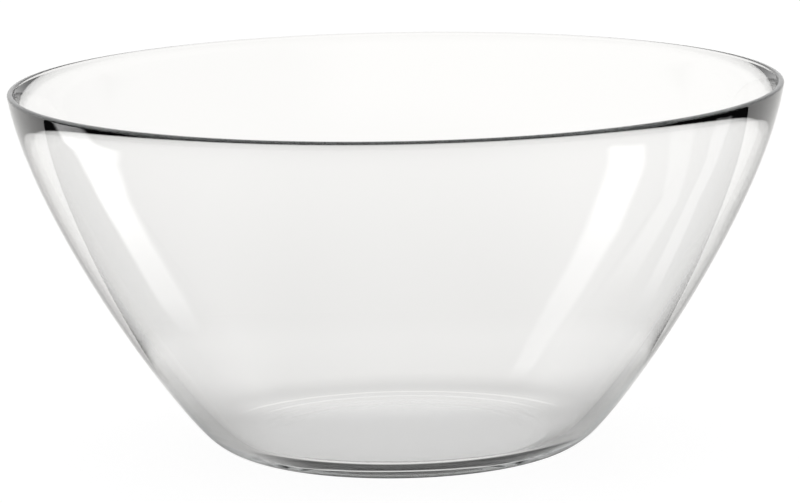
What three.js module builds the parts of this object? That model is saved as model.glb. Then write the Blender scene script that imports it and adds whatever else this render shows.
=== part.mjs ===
// A round bowl of clear glass: one wall that flares from a low foot ring to a thin rounded rim.
// Millimetres, +Z up. The origin is the centre of the foot, on the table.

import * as THREE from 'three';

// Outside
const RIM_RADIUS = 115;
const HEIGHT = 110;
const RIM_LEAN = THREE.MathUtils.degToRad(9.5);

// Heel: an arc that lifts the outside from the foot ring to the wall
const HEEL_CENTRE_RADIUS = 42.9;
const HEEL_RADIUS = 22.7;
const HEEL_ANGLE = THREE.MathUtils.degToRad(45.4);

// Wall: how far the curve keeps the direction of the heel below it and of the rim above it
const LOWER_PULL = 21.6;
const UPPER_PULL = 33.3;

// Glass thickness: the base, the top of the wall, and the lip that the inside tapers to. The lip's
// section lies between a half round, which a squareness of 2 gives, and a square edge.
const BASE_THICKNESS = 5;
const WALL_THICKNESS = 3;
const LIP_THICKNESS = 1.8;
const LIP_TAPER = 2.5;
const LIP_SQUARENESS = 3;

// Underside: a ring to stand on where the heel ends, with a very shallow recess inside it
const FOOT_INNER_RADIUS = 40.6;
const RECESS_EDGE = 1.5;
const RECESS_RISE = 0.08;

// Fineness. The wall's steps crowd together towards the lip, where the thickness changes fast.
const TURN_STEPS = 72;
const HEEL_STEPS = 6;
const WALL_STEPS = 15;
const WALL_CROWDING = 1.6;
const LIP_STEPS = 12;

// The lip is rounded about this point of the profile
const LIP_ROUNDING = LIP_THICKNESS / 2;
const LIP_CENTRE = new THREE.Vector2(RIM_RADIUS - LIP_ROUNDING, HEIGHT - LIP_ROUNDING);

// Outer line from the foot ring to the lip: each station is a point, the direction along the line
// and how far it lies from the start and from the end of the line.
function outerStations() {
  const heelPoint = (angle) =>
    new THREE.Vector2(
      HEEL_CENTRE_RADIUS + HEEL_RADIUS * Math.sin(angle),
      HEEL_RADIUS * (1 - Math.cos(angle)),
    );
  const wallStart = new THREE.Vector2(Math.cos(HEEL_ANGLE), Math.sin(HEEL_ANGLE));
  const wallEnd = new THREE.Vector2(Math.sin(RIM_LEAN), Math.cos(RIM_LEAN));
  const outward = new THREE.Vector2(wallEnd.y, -wallEnd.x);
  const heelTop = heelPoint(HEEL_ANGLE);
  const lipFoot = LIP_CENTRE.clone().addScaledVector(outward, LIP_ROUNDING);
  const wall = new THREE.CubicBezierCurve(
    heelTop,
    heelTop.clone().addScaledVector(wallStart, LOWER_PULL),
    lipFoot.clone().addScaledVector(wallEnd, -UPPER_PULL),
    lipFoot,
  );

  const heelLength = HEEL_RADIUS * HEEL_ANGLE;
  const wallLength = wall.getLength();
  const stations = [];
  for (let i = 0; i < HEEL_STEPS; i += 1) {
    const share = i / HEEL_STEPS;
    const angle = HEEL_ANGLE * share;
    stations.push({
      point: heelPoint(angle),
      along: new THREE.Vector2(Math.cos(angle), Math.sin(angle)),
      fromFoot: heelLength * share,
      toLip: heelLength * (1 - share) + wallLength,
    });
  }
  for (let i = 0; i <= WALL_STEPS; i += 1) {
    const share = 1 - (1 - i / WALL_STEPS) ** WALL_CROWDING;
    stations.push({
      point: wall.getPointAt(share),
      along: wall.getTangentAt(share),
      fromFoot: heelLength + wallLength * share,
      toLip: wallLength * (1 - share),
    });
  }
  return stations;
}

// The inner line keeps the glass's thickness from the outer one. The thickness falls evenly from the
// base to the top of the wall, and the last few millimetres taper on the inside to the lip.
function innerPoint({ point, along, fromFoot, toLip }) {
  const up = fromFoot / (fromFoot + toLip);
  const base = (BASE_THICKNESS - WALL_THICKNESS) * (1 - up);
  const taper = (WALL_THICKNESS - LIP_THICKNESS) * Math.exp(-toLip / LIP_TAPER);
  const inward = new THREE.Vector2(-along.y, along.x);
  return point.clone().addScaledVector(inward, WALL_THICKNESS + base - taper);
}

// Rounded edge over the top of the wall, from its outer line to its inner line.
function lipPoints(top) {
  const inward = new THREE.Vector2(-top.along.y, top.along.x);
  const points = [];
  for (let i = 1; i < LIP_STEPS; i += 1) {
    const angle = (Math.PI * i) / LIP_STEPS;
    const side = Math.sign(Math.cos(angle)) * Math.abs(Math.cos(angle)) ** (2 / LIP_SQUARENESS);
    const rise = Math.sin(angle) ** (2 / LIP_SQUARENESS);
    points.push(
      LIP_CENTRE.clone()
        .addScaledVector(inward, -LIP_ROUNDING * side)
        .addScaledVector(top.along, LIP_ROUNDING * rise),
    );
  }
  return points;
}

// Underside from the axis out across the recess to the foot ring, which the heel starts from.
function undersidePoints() {
  return [
    new THREE.Vector2(0, RECESS_RISE),
    new THREE.Vector2(FOOT_INNER_RADIUS - RECESS_EDGE, RECESS_RISE),
    new THREE.Vector2(FOOT_INNER_RADIUS, 0),
  ];
}

function bowlMesh() {
  const stations = outerStations();
  const inner = stations.map(innerPoint).reverse();
  const profile = [
    ...undersidePoints(),
    ...stations.map(({ point }) => point),
    ...lipPoints(stations.at(-1)),
    ...inner,
    new THREE.Vector2(0, BASE_THICKNESS),
  ];
  const geometry = new THREE.LatheGeometry(profile, TURN_STEPS);
  geometry.rotateX(Math.PI / 2);
  const material = new THREE.MeshStandardMaterial({
    color: '#dfe5e3',
    roughness: 0.03,
    metalness: 0,
    transparent: true,
    opacity: 0.35,
  });
  const mesh = new THREE.Mesh(geometry, material);
  mesh.name = 'bowl';
  return mesh;
}

const glassBowl = new THREE.Group();
glassBowl.add(bowlMesh());

export default glassBowl;
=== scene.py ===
"""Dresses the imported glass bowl: a smooth turned body of clear glass on a white studio table."""

import logging
import math
from bisect import bisect_left
from dataclasses import dataclass
from enum import Enum
from itertools import accumulate

import bmesh
import bpy
from mathutils import Matrix, Vector


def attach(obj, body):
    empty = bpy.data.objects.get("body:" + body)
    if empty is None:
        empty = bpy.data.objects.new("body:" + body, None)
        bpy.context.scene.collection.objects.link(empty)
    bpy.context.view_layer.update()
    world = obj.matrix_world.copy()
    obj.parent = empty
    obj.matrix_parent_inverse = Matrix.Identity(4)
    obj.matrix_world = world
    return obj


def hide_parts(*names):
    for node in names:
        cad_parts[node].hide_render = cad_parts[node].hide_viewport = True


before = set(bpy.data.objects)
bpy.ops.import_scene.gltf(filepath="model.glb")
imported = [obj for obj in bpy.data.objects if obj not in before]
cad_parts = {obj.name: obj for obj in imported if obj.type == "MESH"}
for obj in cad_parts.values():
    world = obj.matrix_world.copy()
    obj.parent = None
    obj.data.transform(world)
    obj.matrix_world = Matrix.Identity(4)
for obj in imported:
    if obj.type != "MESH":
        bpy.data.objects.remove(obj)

LOG = logging.getLogger("glass_bowl")
MM = 0.001
WHITE = (1.0, 1.0, 1.0, 1.0)
FULLNESS = "fullness"

Colour = tuple[float, float, float, float]
CardPoint = tuple[float, float, float, float]
Inputs = dict[str | int, object]
Socket = bpy.types.NodeSocket
Value = Socket | float


class Sight(Enum):
    """Which rays see a studio object that the camera doesn't see."""

    REFLECTIONS = "reflections"
    LIGHT_ONLY = "light only"


class Side(Enum):
    """The side of the bowl that a mark on the table lies on, as the sign of its depth."""

    BEHIND = 1.0
    FRONT = -1.0


class StripLight(Enum):
    """How bright a painted highlight strip is, where 1 is white."""

    BRIGHT = 2.6
    FAINT = 0.7


def limit_sight(item: bpy.types.Object, sight: Sight) -> None:
    """Sets which rays see a studio object.

    Args:
        item: the object.
        sight: the rays that see it.
    """
    item.visible_camera = False
    item.visible_transmission = False
    item.visible_diffuse = sight is Sight.LIGHT_ONLY
    item.visible_glossy = sight is Sight.REFLECTIONS
    item.visible_shadow = False
    item.visible_volume_scatter = False


def put_in_scene(name: str, data: bpy.types.ID) -> bpy.types.Object:
    """Puts a mesh, lamp or camera into the scene.

    Args:
        name: the object's name.
        data: what it shows.

    Returns:
        The new object.
    """
    item = bpy.data.objects.new(name, data)
    bpy.context.scene.collection.objects.link(item)
    return item


class NodeGraph:
    """Builds a shader tree one node at a time."""

    def __init__(self, tree: bpy.types.NodeTree) -> None:
        """Empties the tree and keeps it."""
        tree.nodes.clear()
        self.tree = tree

    def add(self, kind: str, inputs: Inputs | None = None, **settings: object) -> bpy.types.Node:
        """Adds a node.

        Args:
            kind: the node's type name.
            inputs: a plain value or a socket for each input, by name or number.
            settings: the node's own properties.

        Returns:
            The new node.
        """
        node = self.tree.nodes.new(kind)
        for name, setting in settings.items():
            setattr(node, name, setting)
        for name, value in (inputs or {}).items():
            self.feed(node.inputs[name], value)
        return node

    def feed(self, target: Socket, value: object) -> None:
        """Links a socket to an input, or sets the input to a plain value."""
        if isinstance(value, bpy.types.NodeSocket):
            self.tree.links.new(value, target)
        else:
            target.default_value = value

    def math(self, operation: str, *values: Value) -> Socket:
        """Adds a Math node.

        Args:
            operation: the node's operation.
            values: its inputs, in order.

        Returns:
            The node's result.
        """
        return self.add("ShaderNodeMath", dict(enumerate(values)), operation=operation).outputs[0]

    def mix(self, share: Value, first: Value, second: Value) -> Socket:
        """Adds a blend of two numbers.

        Args:
            share: the share of the second number.
            first: the result where the share is 0.
            second: the result where the share is 1.

        Returns:
            The blended number.
        """
        given = {"Factor": share, "A": first, "B": second}
        return self.add("ShaderNodeMix", given, data_type="FLOAT").outputs["Result"]

    def ease(self, value: Value, start: float, stop: float, low: Value = 0.0, high: Value = 1.0) -> Socket:
        """Adds a smooth step.

        Args:
            value: what is mapped.
            start: the value at which the step begins.
            stop: the value at which it ends.
            low: the result before the step.
            high: the result after the step.

        Returns:
            The mapped value.
        """
        given = {"Value": value, "From Min": start, "From Max": stop, "To Min": low, "To Max": high}
        return self.add("ShaderNodeMapRange", given, interpolation_type="SMOOTHSTEP").outputs["Result"]


def new_material(name: str) -> tuple[bpy.types.Material, NodeGraph]:
    """Makes a material with an empty tree.

    Args:
        name: the material's name.

    Returns:
        The material, and the graph that fills its tree.
    """
    material = bpy.data.materials.new(name)
    material.use_nodes = True
    return material, NodeGraph(material.node_tree)


@dataclass(frozen=True)
class ClearGlass:
    """Soda-lime glass, fire polished: clear, with a faint grey-green body and a barely uneven skin."""

    name: str = "clear_glass"
    ior: float = 1.52
    body_colour: Colour = (0.12, 0.145, 0.14, 1.0)
    body_density: float = 5.5

    # Wiped patches that blur what shows through them
    haze: float = 0.012
    haze_scale: float = 60.0
    haze_detail: float = 3.0
    haze_start: float = 0.55
    haze_stop: float = 0.8

    # Waves left by the mould, with their depth in metres
    ripple_scale: float = 28.0
    ripple_detail: float = 1.0
    ripple_depth: float = 0.02 * MM

    def material(self) -> bpy.types.Material:
        """Makes the finish.

        Returns:
            A glass material whose roughness and surface ripple come from noise.
        """
        material, graph = new_material(self.name)
        place = graph.add("ShaderNodeTexCoord").outputs["Object"]
        wiped = {"Vector": place, "Scale": self.haze_scale, "Detail": self.haze_detail}
        wipe = graph.add("ShaderNodeTexNoise", wiped).outputs["Fac"]
        waves = {"Vector": place, "Scale": self.ripple_scale, "Detail": self.ripple_detail}
        ripple = graph.add("ShaderNodeTexNoise", waves).outputs["Fac"]
        bump = graph.add("ShaderNodeBump", {"Height": ripple, "Strength": 1.0, "Distance": self.ripple_depth})
        skin = graph.add("ShaderNodeBsdfPrincipled", {
            "Base Color": WHITE,
            "Transmission Weight": 1.0,
            "IOR": self.ior,
            "Roughness": graph.ease(wipe, self.haze_start, self.haze_stop, 0.0, self.haze),
            "Normal": bump.outputs["Normal"],
        })
        grey = {"Color": self.body_colour, "Density": self.body_density}
        body = graph.add("ShaderNodeVolumeAbsorption", grey)
        ends = {"Surface": skin.outputs["BSDF"], "Volume": body.outputs["Volume"]}
        graph.add("ShaderNodeOutputMaterial", ends)
        return material


@dataclass(frozen=True)
class TableView:
    """Where a point of the table lies, in metres from the bowl's axis, and which ray sees it."""

    point: Socket
    away: Socket
    depth: Socket
    rays: bpy.types.bpy_prop_collection

    @classmethod
    def of(cls, graph: NodeGraph) -> "TableView":
        """Adds the nodes that give it.

        Args:
            graph: the table's shader tree.

        Returns:
            The sockets to go by.
        """
        point = graph.add("ShaderNodeTexCoord").outputs["Object"]
        away = graph.add("ShaderNodeVectorMath", {0: point}, operation="LENGTH").outputs["Value"]
        depth = graph.add("ShaderNodeSeparateXYZ", {"Vector": point}).outputs["Y"]
        return cls(point, away, depth, graph.add("ShaderNodeLightPath").outputs)


@dataclass(frozen=True)
class PaintedTableShade:
    """Painted shade of the bowl on the table, where the glass shows it. Seen steeply it fades to white: a
    painted sheen.

    Places are in metres, levels are shares of white.
    """

    # Painted shade under the base, from the front to the back
    base_near: float = 0.57
    base_far: float = 0.92
    base_from: float = 0.012
    base_to: float = 0.042
    foot_start: float = 0.056
    foot_stop: float = 0.070

    # Painted shade round the foot, a little to the front
    round_centre: tuple[float, float, float] = (0.005, -0.040, 0.0)
    round_low: float = 0.44
    round_start: float = 0.055
    round_stop: float = 0.134

    # Faint painted shade further out
    wide_low: float = 0.925
    wide_start: float = 0.12
    wide_stop: float = 0.50

    # Painted sheen: seen steeply, the painted shade fades to white
    steep_white: float = 0.95
    steep_full: float = 0.15
    steep_none: float = 0.40
    facing_blend: float = 0.5

    def level(self, graph: NodeGraph, view: TableView) -> Socket:
        """Adds the painted shade.

        Args:
            graph: the table's shader tree.
            view: where the point lies.

        Returns:
            The share of white that is left.
        """
        base = graph.ease(view.depth, self.base_from, self.base_to, self.base_near, self.base_far)
        ends = {0: view.point, 1: self.round_centre}
        spread = graph.add("ShaderNodeVectorMath", ends, operation="DISTANCE").outputs["Value"]
        beside = graph.ease(spread, self.round_start, self.round_stop, self.round_low, 1.0)
        close = graph.mix(graph.ease(view.away, self.foot_start, self.foot_stop), base, beside)
        wide = graph.ease(view.away, self.wide_start, self.wide_stop, self.wide_low, 1.0)
        facing = graph.add("ShaderNodeLayerWeight", {"Blend": self.facing_blend}).outputs["Facing"]
        flat = graph.ease(facing, self.steep_full, self.steep_none)
        return graph.mix(flat, self.steep_white, graph.math("MULTIPLY", close, wide))


@dataclass(frozen=True)
class PaintedContactShadow:
    """Painted contact shadow: a dark line where the foot meets the table, in front and a little to the right.
    Metres and degrees.
    """

    inner: float = 0.0428
    outer: float = 0.0508
    soft: float = 0.0015
    squeeze: tuple[float, float, float] = (0.92, 1.0, 1.0)
    low: float = 0.1
    turn: float = 14.0
    fade_from: float = -0.036
    fade_to: float = -0.008

    def level(self, graph: NodeGraph, view: TableView) -> Socket:
        """Adds the painted contact shadow.

        Args:
            graph: the table's shader tree.
            view: where the point lies.

        Returns:
            The share of white that is left.
        """
        turn = math.radians(self.turn)
        aim = {0: view.point, 1: (-math.sin(turn), math.cos(turn), 0.0)}
        ahead = graph.add("ShaderNodeVectorMath", aim, operation="DOT_PRODUCT").outputs["Value"]
        foot = graph.ease(ahead, self.fade_from, self.fade_to, self.low, 1.0)
        given = {0: view.point, 1: self.squeeze}
        squeezed = graph.add("ShaderNodeVectorMath", given, operation="MULTIPLY").outputs["Vector"]
        reach = graph.add("ShaderNodeVectorMath", {0: squeezed}, operation="LENGTH").outputs["Value"]
        inside = graph.ease(reach, self.inner - self.soft, self.inner, 1.0, 0.0)
        outside = graph.ease(reach, self.outer, self.outer + self.soft)
        return graph.mix(graph.math("MAXIMUM", inside, outside), foot, 1.0)


@dataclass(frozen=True)
class PaintedLightRing:
    """Painted fine ring of light on the table, where the base would gather light, on one side of the bowl.
    Metres.
    """

    radius: float
    gain: float
    side: Side
    half_width: float = 0.0009
    fade_from: float = 0.020
    fade_to: float = 0.038

    def level(self, graph: NodeGraph, view: TableView) -> Socket:
        """Adds the painted ring of light.

        Args:
            graph: the table's shader tree.
            view: where the point lies.

        Returns:
            The white that the ring adds.
        """
        off = graph.math("ABSOLUTE", graph.math("SUBTRACT", view.away, self.radius))
        line = graph.ease(off, 0.0, self.half_width, self.gain, 0.0)
        ahead = graph.math("MULTIPLY", view.depth, self.side.value)
        return graph.math("MULTIPLY", line, graph.ease(ahead, self.fade_from, self.fade_to))


@dataclass(frozen=True)
class TableWhite:
    """Matt white table that takes the bowl's shadow; a white background to camera and glass, with painted
    shade in the glass.
    """

    name: str = "table_white"

    # Matt paint
    paint: float = 0.86
    grain: float = 0.01
    grain_scale: float = 900.0
    grain_start: float = 0.3
    grain_stop: float = 0.7

    # White background: its share of what is seen, and where reflections start to show it, in metres
    seen_white: float = 0.92
    glass_share: float = 0.92
    mirror_from: float = -0.01
    mirror_to: float = 0.05
    white_level: float = 1.04
    warm_white: Colour = (0.978, 0.971, 0.956, 1.0)

    # Painted shade, painted contact shadow and painted rings of light that stand for what the bowl does to it
    shade: PaintedTableShade = PaintedTableShade()
    contact: PaintedContactShadow = PaintedContactShadow()
    rings: tuple[PaintedLightRing, ...] = (
        PaintedLightRing(0.0500, 0.28, Side.BEHIND),
        PaintedLightRing(0.0570, 0.28, Side.BEHIND),
        PaintedLightRing(0.0464, 0.95, Side.FRONT),
    )

    def matt(self, graph: NodeGraph, view: TableView, contact: Socket) -> Socket:
        """Adds the matt paint, darkened by the painted contact shadow for all but camera rays.

        Args:
            graph: the table's shader tree.
            view: where the point lies and which ray sees it.
            contact: the share of white left by the painted contact shadow.

        Returns:
            The paint's shader.
        """
        specks = {"Vector": view.point, "Scale": self.grain_scale}
        grain = graph.add("ShaderNodeTexNoise", specks).outputs["Fac"]
        dark, light = self.paint - self.grain, self.paint + self.grain
        paint = graph.ease(grain, self.grain_start, self.grain_stop, dark, light)
        # Painted contact shadow darkens the paint's colour, except for camera rays
        painted_contact_shade = graph.math("MAXIMUM", contact, view.rays["Is Camera Ray"])
        colour = graph.math("MULTIPLY", paint, painted_contact_shade)
        return graph.add("ShaderNodeBsdfDiffuse", {"Color": colour}).outputs["BSDF"]

    def background(self, graph: NodeGraph, view: TableView, contact: Socket) -> Socket:
        """Adds the white background, with the bowl's painted shade and painted rings of light where the glass
        shows it.

        Args:
            graph: the table's shader tree.
            view: where the point lies and which ray sees it.
            contact: the share of white left by the painted contact shadow.

        Returns:
            The background's shader.
        """
        # Painted shade times the painted contact shadow, plus painted rings of light; camera rays see plain
        # white
        painted_level = graph.math("MULTIPLY", self.shade.level(graph, view), contact)
        for ring in self.rings:
            painted_level = graph.math("ADD", painted_level, ring.level(graph, view))
        painted_level = graph.math("MAXIMUM", painted_level, view.rays["Is Camera Ray"])
        strength = graph.math("MULTIPLY", painted_level, self.white_level)
        whites = {"Factor": view.rays["Is Camera Ray"], "A": self.warm_white, "B": WHITE}
        tint = graph.add("ShaderNodeMix", whites, data_type="RGBA").outputs["Result"]
        glow = {"Color": tint, "Strength": strength}
        return graph.add("ShaderNodeEmission", glow).outputs["Emission"]

    def background_share(self, graph: NodeGraph, view: TableView) -> Socket:
        """Adds the share of the background in what each kind of ray sees.

        Args:
            graph: the table's shader tree.
            view: where the point lies and which ray sees it.

        Returns:
            The share, from 0 to 1.
        """
        behind = graph.ease(view.depth, self.mirror_from, self.mirror_to)
        mirrored = graph.math("MULTIPLY", view.rays["Is Glossy Ray"], behind)
        in_glass = graph.math("MAXIMUM", view.rays["Is Transmission Ray"], mirrored)
        by_glass = graph.math("MULTIPLY", in_glass, self.glass_share)
        by_camera = graph.math("MULTIPLY", view.rays["Is Camera Ray"], self.seen_white)
        return graph.math("MAXIMUM", by_camera, by_glass)

    def material(self) -> bpy.types.Material:
        """Makes the finish.

        Returns:
            A matt material with a lift for the rays that show the background.
        """
        material, graph = new_material(self.name)
        view = TableView.of(graph)
        # Painted contact shadow, shared by the matt paint and the white background
        contact = self.contact.level(graph, view)
        blend = {
            0: self.background_share(graph, view),
            1: self.matt(graph, view, contact),
            2: self.background(graph, view, contact),
        }
        total = graph.add("ShaderNodeMixShader", blend).outputs["Shader"]
        graph.add("ShaderNodeOutputMaterial", {"Surface": total})
        return material


@dataclass(frozen=True)
class CardFinish:
    """Studio card that fades out to its edges by the value kept on its points.

    It paints a reflection: it glows at a level where 1 is white, and hides a share of what lies behind it.
    """

    name: str
    level: float
    hides: float

    def material(self) -> bpy.types.Material:
        """Makes the finish.

        Returns:
            A material that adds light where the card is full, and lets light past where it has faded.
        """
        material, graph = new_material(self.name)
        kept = graph.add("ShaderNodeAttribute", attribute_name=FULLNESS).outputs["Fac"]
        full = graph.ease(kept, 0.0, 1.0)
        glow = {"Color": WHITE, "Strength": graph.math("MULTIPLY", full, self.level)}
        light = graph.add("ShaderNodeEmission", glow).outputs["Emission"]
        past = graph.math("SUBTRACT", 1.0, graph.math("MULTIPLY", full, self.hides))
        clear = graph.add("ShaderNodeBsdfTransparent", {"Color": past}).outputs["BSDF"]
        total = graph.add("ShaderNodeAddShader", {0: light, 1: clear}).outputs["Shader"]
        graph.add("ShaderNodeOutputMaterial", {"Surface": total})
        return material


@dataclass(frozen=True)
class Station:
    """A point of the bowl's outer line, in mm, with the direction along it and the way left to each end."""

    point: Vector
    along: Vector
    from_foot: float
    to_lip: float

    def inward(self) -> Vector:
        """Gives the direction through the glass to the inside."""
        return Vector((-self.along.y, self.along.x))


@dataclass(frozen=True)
class WallCurve:
    """The outer wall's line, a cubic curve with four control points in mm, from the heel to the lip."""

    a: Vector
    b: Vector
    c: Vector
    d: Vector

    def at(self, t: float) -> Vector:
        """Gives the point at a parameter from 0 to 1."""
        s = 1 - t
        return self.a * s**3 + self.b * (3 * t * s * s) + self.c * (3 * t * t * s) + self.d * t**3

    def along(self, t: float) -> Vector:
        """Gives the direction at a parameter from 0 to 1."""
        s = 1 - t
        way = (self.b - self.a) * s * s + (self.c - self.b) * (2 * t * s) + (self.d - self.c) * t * t
        return way.normalized()

    def travelled(self, count: int) -> list[float]:
        """Measures the line.

        Args:
            count: the number of even steps of the parameter.

        Returns:
            The way from the start to each step, which begins with 0.
        """
        points = [self.at(i / count) for i in range(count + 1)]
        steps = [(after - before).length for before, after in zip(points, points[1:])]
        return [0.0, *accumulate(steps)]


@dataclass
class GlassBowl:
    """The bowl: a wall that flares from a low foot ring to a thin rounded lip. Mm and degrees."""

    # Outside
    rim_radius: float = 115.0
    height: float = 110.0
    rim_lean: float = 9.5
    heel_centre_radius: float = 42.9
    heel_radius: float = 22.7
    heel_angle: float = 45.4
    lower_pull: float = 21.6
    upper_pull: float = 33.3

    # Glass
    base_thickness: float = 5.0
    wall_thickness: float = 3.0
    lip_thickness: float = 1.8
    lip_taper: float = 2.5
    lip_squareness: float = 3.0

    # Underside
    foot_inner_radius: float = 40.6
    recess_edge: float = 6.0
    recess_rise: float = 0.08

    # Fineness
    turn_steps: int = 288
    heel_steps: int = 24
    wall_steps: int = 110
    wall_crowding: float = 1.6
    curve_steps: int = 2000
    lip_steps: int = 24
    recess_steps: int = 8
    flat_margin: float = 0.6
    on_axis: float = 1e-6

    def lip_centre(self) -> Vector:
        """Gives the point that the lip is rounded about."""
        rounding = self.lip_thickness / 2
        return Vector((self.rim_radius - rounding, self.height - rounding))

    def heel_point(self, angle: float) -> Vector:
        """Gives the point of the heel's arc at an angle from the foot ring, in radians."""
        out = self.heel_centre_radius + self.heel_radius * math.sin(angle)
        return Vector((out, self.heel_radius * (1 - math.cos(angle))))

    def heel_stations(self, heel_length: float, wall_length: float) -> list[Station]:
        """Steps up the heel's arc from the foot ring.

        Args:
            heel_length: the length of the arc.
            wall_length: the length of the wall above it.

        Returns:
            The arc's stations, without its last point.
        """
        stop = math.radians(self.heel_angle)
        stations = []
        for i in range(self.heel_steps):
            share = i / self.heel_steps
            angle = stop * share
            along = Vector((math.cos(angle), math.sin(angle)))
            to_lip = heel_length * (1 - share) + wall_length
            stations.append(Station(self.heel_point(angle), along, heel_length * share, to_lip))
        return stations

    def wall_curve(self) -> WallCurve:
        """Gives the line of the outer wall."""
        heel, lean = math.radians(self.heel_angle), math.radians(self.rim_lean)
        low = self.heel_point(heel)
        top = self.lip_centre() + Vector((math.cos(lean), -math.sin(lean))) * (self.lip_thickness / 2)
        above_low = low + self.lower_pull * Vector((math.cos(heel), math.sin(heel)))
        below_top = top - self.upper_pull * Vector((math.sin(lean), math.cos(lean)))
        return WallCurve(low, above_low, below_top, top)

    def outer_line(self) -> list[Station]:
        """Steps along the outside from the foot ring to the lip.

        Returns:
            The stations, evenly spaced on the heel and crowded towards the lip on the wall.
        """
        wall = self.wall_curve()
        travelled = wall.travelled(self.curve_steps)
        wall_length = travelled[-1]
        heel_length = self.heel_radius * math.radians(self.heel_angle)
        stations = self.heel_stations(heel_length, wall_length)
        for i in range(self.wall_steps + 1):
            goal = wall_length * (1 - (1 - i / self.wall_steps) ** self.wall_crowding)
            near = min(max(bisect_left(travelled, goal), 1), self.curve_steps)
            share = (goal - travelled[near - 1]) / (travelled[near] - travelled[near - 1])
            t = (near - 1 + share) / self.curve_steps
            stations.append(Station(wall.at(t), wall.along(t), heel_length + goal, wall_length - goal))
        return stations

    def inner_point(self, station: Station) -> Vector:
        """Gives the inside point that faces a station of the outside.

        Args:
            station: the outside station.

        Returns:
            The point one glass thickness inwards.
        """
        up = station.from_foot / (station.from_foot + station.to_lip)
        base = (self.base_thickness - self.wall_thickness) * (1 - up)
        taper = (self.wall_thickness - self.lip_thickness) * math.exp(-station.to_lip / self.lip_taper)
        return station.point + station.inward() * (self.wall_thickness + base - taper)

    def lip(self, top: Station) -> list[Vector]:
        """Rounds the lip over from the outside to the inside.

        Args:
            top: the last station of the outside.

        Returns:
            The points between the two lines.
        """
        rounding = self.lip_thickness / 2
        bend = 2 / self.lip_squareness
        points = []
        for i in range(1, self.lip_steps):
            angle = math.pi * i / self.lip_steps
            side = math.copysign(abs(math.cos(angle)) ** bend, math.cos(angle))
            rise = math.sin(angle) ** bend
            aside = top.inward() * (rounding * side)
            points.append(self.lip_centre() - aside + top.along * (rounding * rise))
        return points

    def underside(self) -> list[Vector]:
        """Steps out from the axis across the recess and down its soft edge to the foot ring.

        Returns:
            The points, with one close to each end of a flat so that the flat keeps its shading.
        """
        edge = self.foot_inner_radius - self.recess_edge
        points = [Vector((0.0, self.recess_rise)), Vector((edge - self.flat_margin, self.recess_rise))]
        for i in range(self.recess_steps + 1):
            share = i / self.recess_steps
            fall = share * share * (3 - 2 * share)
            points.append(Vector((edge + self.recess_edge * share, self.recess_rise * (1 - fall))))
        points.append(Vector((self.foot_inner_radius + self.flat_margin, 0.0)))
        points.append(Vector((self.heel_centre_radius - self.flat_margin, 0.0)))
        return points

    def profile(self) -> list[Vector]:
        """Gives the closed half section, from the axis under the base round to the axis above it."""
        stations = self.outer_line()
        outer = [station.point for station in stations]
        inner = [self.inner_point(station) for station in reversed(stations)]
        floor_edge = Vector((self.heel_centre_radius - self.flat_margin, self.base_thickness))
        floor_middle = Vector((0.0, self.base_thickness))
        return [*self.underside(), *outer, *self.lip(stations[-1]), *inner, floor_edge, floor_middle]

    def ring(self, shape: bmesh.types.BMesh, point: Vector) -> list[bmesh.types.BMVert]:
        """Turns one point of the section about the axis.

        Args:
            shape: the mesh that is being built.
            point: the point of the section.

        Returns:
            The corners of its ring, or the only corner of a point on the axis.
        """
        if point.x < self.on_axis:
            return [shape.verts.new((0.0, 0.0, point.y * MM))]
        corners = []
        for i in range(self.turn_steps):
            angle = math.tau * i / self.turn_steps
            place = Vector((point.x * math.cos(angle), point.x * math.sin(angle), point.y))
            corners.append(shape.verts.new(place * MM))
        return corners

    def build(self) -> bpy.types.Object:
        """Turns the half section about the axis.

        Returns:
            The bowl, one closed mesh in metres.
        """
        shape = bmesh.new()
        rings = [self.ring(shape, point) for point in self.profile()]
        for low, high in zip(rings, rings[1:]):
            for i in range(self.turn_steps):
                j = (i + 1) % self.turn_steps
                corners = (low[i % len(low)], low[j % len(low)], high[j % len(high)], high[i % len(high)])
                shape.faces.new(list(dict.fromkeys(corners)))
        bmesh.ops.recalc_face_normals(shape, faces=shape.faces)
        mesh = bpy.data.meshes.new("glass_bowl")
        shape.to_mesh(mesh)
        shape.free()
        mesh.shade_smooth()
        return put_in_scene("glass_bowl", mesh)

    def dress(self, bowl: bpy.types.Object, finish: ClearGlass) -> None:
        """Gives the bowl its glass and ties it to the frame.

        Args:
            bowl: the bowl's mesh.
            finish: the glass.
        """
        bowl.data.materials.append(finish.material())
        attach(bowl, "root")
        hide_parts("bowl")


@dataclass
class Table:
    """The white table that the bowl stands on, in metres."""

    reach: float = 12.0
    clearance: float = 0.03 * MM

    def build(self, finish: TableWhite) -> bpy.types.Object:
        """Lays the table out as one sheet of the stage.

        Args:
            finish: the table's paint.

        Returns:
            The table's object.
        """
        r, z = self.reach, -self.clearance
        mesh = bpy.data.meshes.new("table")
        mesh.from_pydata([(-r, -r, z), (r, -r, z), (r, r, z), (-r, r, z)], [], [(0, 1, 2, 3)])
        mesh.materials.append(finish.material())
        table = put_in_scene("table", mesh)
        return table


@dataclass(frozen=True)
class StripRow:
    """One row across a light strip: its two ends on the table, in mm, and how full its light is."""

    x0: float
    y0: float
    x1: float
    y1: float
    full: float


@dataclass(frozen=True)
class LightStrip:
    """A long glowing strip flat on the table that only reflections see, a painted highlight, laid out by the
    rows across it.
    """

    name: str
    light: StripLight
    rows: tuple[StripRow, ...]


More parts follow.
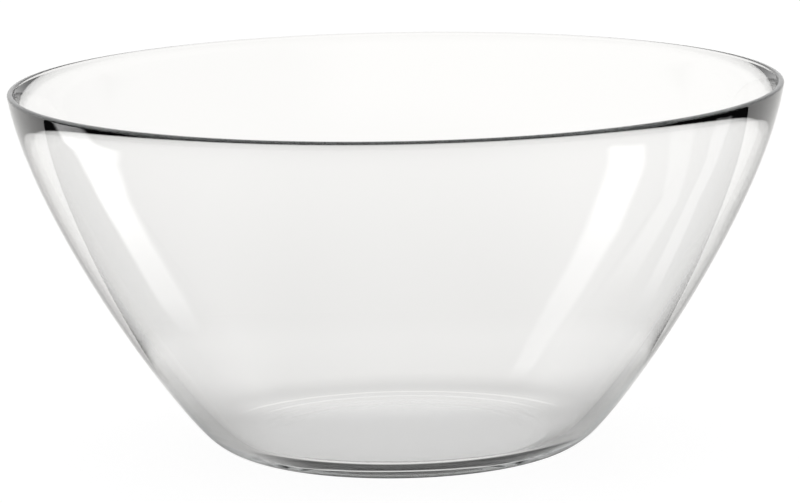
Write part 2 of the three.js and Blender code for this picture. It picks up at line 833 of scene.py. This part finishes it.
@dataclass
class StudioCards:
    """Cards on the table that only reflections see, painted reflections: a dark surround, two bright strips
    and two faint ones.

    Sizes are in metres and degrees.
    """

    # Dark ring that only reflections see: a painted dark reflection
    dark_inner: float = 0.102
    dark_full: float = 0.118
    dark_outer: float = 3.0
    dark_from: float = 64.0
    dark_steps: int = 40
    dark_level: float = 0.02
    dark_lift: float = 0.6 * MM
    strip_lift: float = 1.2 * MM
    strip_edge: float = 0.2
    # Glowing strips that only reflections see: painted highlights on the glass
    strips: tuple[LightStrip, ...] = (
        LightStrip("light_strip_left", StripLight.BRIGHT, (
            StripRow(-104, -34, -92, -54, 0.0),
            StripRow(-110, -31, -97, -56, 0.2),
            StripRow(-129, -21, -113, -59, 0.43),
            StripRow(-156, -13, -139, -58, 0.56),
            StripRow(-181, -4, -165, -55, 0.75),
            StripRow(-213, 11, -197, -52, 1.0),
            StripRow(-265, 37, -248, -58, 1.0),
            StripRow(-298, 60, -281, -72, 1.0),
            StripRow(-318, 88, -316, -20, 1.0),
            StripRow(-430, 180, -430, 40, 1.0),
        )),
        LightStrip("light_strip_right", StripLight.BRIGHT, (
            StripRow(44, -75, 51, -69, 0.0),
            StripRow(50, -79, 61, -70, 0.42),
            StripRow(60, -85, 74, -73, 0.34),
            StripRow(79, -94, 97, -74, 0.46),
            StripRow(103, -102, 123, -75, 0.58),
            StripRow(123, -110, 147, -75, 0.8),
            StripRow(147, -121, 174, -80, 1.0),
            StripRow(191, -142, 220, -87, 1.0),
            StripRow(222, -164, 254, -101, 1.0),
            StripRow(240, -170, 268, -112, 0.0),
        )),
        LightStrip("faint_strip_thin", StripLight.FAINT, (
            StripRow(112, -26, 115, -4, 0.0),
            StripRow(149, -20, 153, 6, 0.8),
            StripRow(171, -15, 176, 14, 0.9),
            StripRow(199, -6, 203, 22, 1.0),
            StripRow(244, 10, 248, 48, 1.0),
            StripRow(294, 18, 294, 68, 1.0),
            StripRow(370, 40, 370, 110, 1.0),
        )),
        LightStrip("faint_strip_wide", StripLight.FAINT, (
            StripRow(104, -66, 112, -40, 0.0),
            StripRow(132, -62, 142, -34, 0.6),
            StripRow(158, -56, 166, -28, 0.9),
            StripRow(188, -50, 196, -18, 1.0),
            StripRow(259, -70, 268, -16, 1.0),
            StripRow(340, -90, 350, -14, 1.0),
        )),
    )

    def lay(self, rows: list[list[CardPoint]], finish: CardFinish) -> bpy.types.Object:
        """Lays a card on the table.

        Args:
            rows: rows of equal length across the card, each point with its place in metres and its fullness.
            finish: the card's finish, which names the card too.

        Returns:
            The card's object.
        """
        across = len(rows[0])
        points = [point[:3] for row in rows for point in row]
        faces = []
        for i in range(len(rows) - 1):
            for j in range(across - 1):
                k = across * i + j
                faces.append((k, k + 1, k + across + 1, k + across))
        mesh = bpy.data.meshes.new(finish.name)
        mesh.from_pydata(points, [], faces)
        fullness = mesh.attributes.new(FULLNESS, "FLOAT", "POINT")
        fullness.data.foreach_set("value", [point[3] for row in rows for point in row])
        mesh.materials.append(finish.material())
        card = put_in_scene(finish.name, mesh)
        limit_sight(card, Sight.REFLECTIONS)
        return card

    def dark_surround(self) -> bpy.types.Object:
        """Lays a dark ring on the table that only reflections see, a painted dark reflection, open behind the
        bowl and soft at its inner edge.

        Returns:
            The ring's object.
        """
        start, stop = math.radians(self.dark_from), math.radians(360 - self.dark_from)
        circles = ((self.dark_inner, 0.0), (self.dark_full, 1.0), (self.dark_outer, 1.0))
        rows = []
        for i in range(self.dark_steps + 1):
            angle = start + (stop - start) * i / self.dark_steps
            row = []
            for radius, full in circles:
                row.append((radius * math.sin(angle), radius * math.cos(angle), self.dark_lift, full))
            rows.append(row)
        return self.lay(rows, CardFinish("dark_surround", self.dark_level, 1.0))

    def light_strip(self, strip: LightStrip) -> bpy.types.Object:
        """Lays a light strip on the table, a painted highlight that only reflections see, soft along both of
        its edges.

        Args:
            strip: the strip.

        Returns:
            The strip's object.
        """
        rows = []
        for end in strip.rows:
            edges = ((0.0, 0.0), (self.strip_edge, end.full), (1 - self.strip_edge, end.full), (1.0, 0.0))
            row = []
            for share, full in edges:
                x = end.x0 + (end.x1 - end.x0) * share
                y = end.y0 + (end.y1 - end.y0) * share
                row.append((x * MM, y * MM, self.strip_lift, full))
            rows.append(row)
        return self.lay(rows, CardFinish(strip.name, strip.light.value, 0.0))

    def build(self) -> list[bpy.types.Object]:
        """Lays all the cards out."""
        return [self.dark_surround(), *(self.light_strip(strip) for strip in self.strips)]


@dataclass
class StudioLight:
    """Soft light from above and a plain surround.

    Sizes are in metres and levels are radiance, where 1 is white. The surround's front and dim starts are
    degrees above the horizon, and its behind and right starts are parts of a direction of length 1.
    """

    # Softbox over the bowl
    height: float = 2.0
    side: float = 2.6
    power: float = 46.0

    # Surround: how it lights the table, and how reflections see it low in front, high up and to the right
    ambient: float = 0.4
    low_front: float = 0.04
    front_start: float = 11.0
    front_stop: float = 17.5
    behind_start: float = 0.1
    behind_stop: float = 0.4
    dim_start: float = 32.0
    dim_stop: float = 52.0
    dim_level: float = 0.5
    right_start: float = 0.15
    right_stop: float = 0.6
    right_level: float = 0.75

    inner_bounces: int = 32

    def let_through(self) -> None:
        """Lets light follow the many inner reflections of the lip and the base."""
        paths = bpy.context.scene.cycles
        paths.glossy_bounces = self.inner_bounces
        paths.max_bounces = self.inner_bounces

    def overhead(self) -> bpy.types.Object:
        """Hangs the softbox over the bowl.

        Returns:
            The softbox's object.
        """
        lamp = bpy.data.lights.new("overhead_softbox", "AREA")
        lamp.shape = "SQUARE"
        lamp.size = self.side
        lamp.energy = self.power
        softbox = put_in_scene("overhead_softbox", lamp)
        softbox.location = (0.0, 0.0, self.height)
        limit_sight(softbox, Sight.LIGHT_ONLY)
        return softbox

    def mirrored(self, graph: NodeGraph, rays: bpy.types.bpy_prop_collection) -> Socket:
        """Adds what the glass shows of the surround.

        Args:
            graph: the world's shader tree.
            rays: the kinds of ray.

        Returns:
            The radiance, dark low in front for reflections and dimmer high up and to the right.
        """
        way = graph.add("ShaderNodeTexCoord").outputs["Generated"]
        parts = graph.add("ShaderNodeSeparateXYZ", {"Vector": way}).outputs
        rise = graph.math("DEGREES", graph.math("ARCSINE", parts["Z"]))
        front = graph.ease(rise, self.front_start, self.front_stop, self.low_front, 1.0)
        behind = graph.ease(parts["Y"], self.behind_start, self.behind_stop)
        open_low = graph.math("MAXIMUM", behind, rays["Is Transmission Ray"])
        dim = graph.ease(rise, self.dim_start, self.dim_stop, 1.0, self.dim_level)
        right = graph.ease(parts["X"], self.right_start, self.right_stop, 1.0, self.right_level)
        dimmed = graph.math("MULTIPLY", dim, right)
        return graph.math("MULTIPLY", graph.math("MAXIMUM", front, open_low), dimmed)

    def surround(self) -> bpy.types.World:
        """Makes the studio's surround.

        Returns:
            A world that is white to the camera, plain to the table, and shaped where the glass shows it.
        """
        world = bpy.data.worlds.new("studio_surround")
        world.use_nodes = True
        graph = NodeGraph(world.node_tree)
        rays = graph.add("ShaderNodeLightPath").outputs
        plain = graph.mix(rays["Is Glossy Ray"], self.ambient, self.mirrored(graph, rays))
        level = graph.math("MAXIMUM", rays["Is Camera Ray"], plain)
        sky = graph.add("ShaderNodeBackground", {"Color": WHITE, "Strength": level}).outputs["Background"]
        graph.add("ShaderNodeOutputWorld", {"Surface": sky})
        bpy.context.scene.world = world
        return world


@dataclass
class StudioCamera:
    """The camera at the photograph's angle. Metres and degrees, and offsets in pixels of the image."""

    target_height: float = 54.9 * MM
    distance: float = 1527.2 * MM
    elevation: float = 10.168
    roll: float = -1.0665
    focal_pixels: float = 5116.9
    image_width: float = 800.0
    sensor: float = 36.0
    target_right: float = -1.247
    target_down: float = 14.075
    sight_end: float = 100.0

    def build(self) -> bpy.types.Object:
        """Sets the camera up and makes it the scene's own.

        Returns:
            The camera's object.
        """
        data = bpy.data.cameras.new("studio_camera")
        data.sensor_fit = "HORIZONTAL"
        data.sensor_width = self.sensor
        data.lens = self.focal_pixels * self.sensor / self.image_width
        data.clip_end = self.sight_end
        camera = put_in_scene("studio_camera", data)
        rise = math.radians(self.elevation)
        place = Vector((0.0, -math.cos(rise), math.sin(rise))) * self.distance
        place.z += self.target_height
        turn = Matrix.Rotation(math.pi / 2 - rise, 4, "X")
        turn @= Matrix.Rotation(math.radians(self.roll), 4, "Z")
        turn @= Matrix.Rotation(math.atan(self.target_down / self.focal_pixels), 4, "X")
        turn @= Matrix.Rotation(math.atan(self.target_right / self.focal_pixels), 4, "Y")
        camera.matrix_world = Matrix.Translation(place) @ turn
        bpy.context.scene.camera = camera
        return camera


def corners(box: tuple[Vector, Vector]) -> list[list[float]]:
    """Gives a box's two corners as plain lists."""
    return [list(corner) for corner in box]


def main() -> None:
    """Builds the bowl and its studio."""
    logging.basicConfig(level=logging.INFO, format="%(message)s")
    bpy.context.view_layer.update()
    bowl = GlassBowl()
    piece = bowl.build()
    bowl.dress(piece, ClearGlass())
    LOG.info("bowl: %d faces", len(piece.data.polygons))
    table = Table().build(TableWhite())
    LOG.info("stage: %s", table.name)
    for card in StudioCards().build():
        LOG.info("stage: %s", card.name)
    light = StudioLight()
    light.let_through()
    LOG.info("light: %s, %s", light.overhead().name, light.surround().name)
    LOG.info("camera: %s", StudioCamera().build().name)
    bpy.context.scene.view_settings.view_transform = "Standard"


if __name__ == "__main__":
    main()
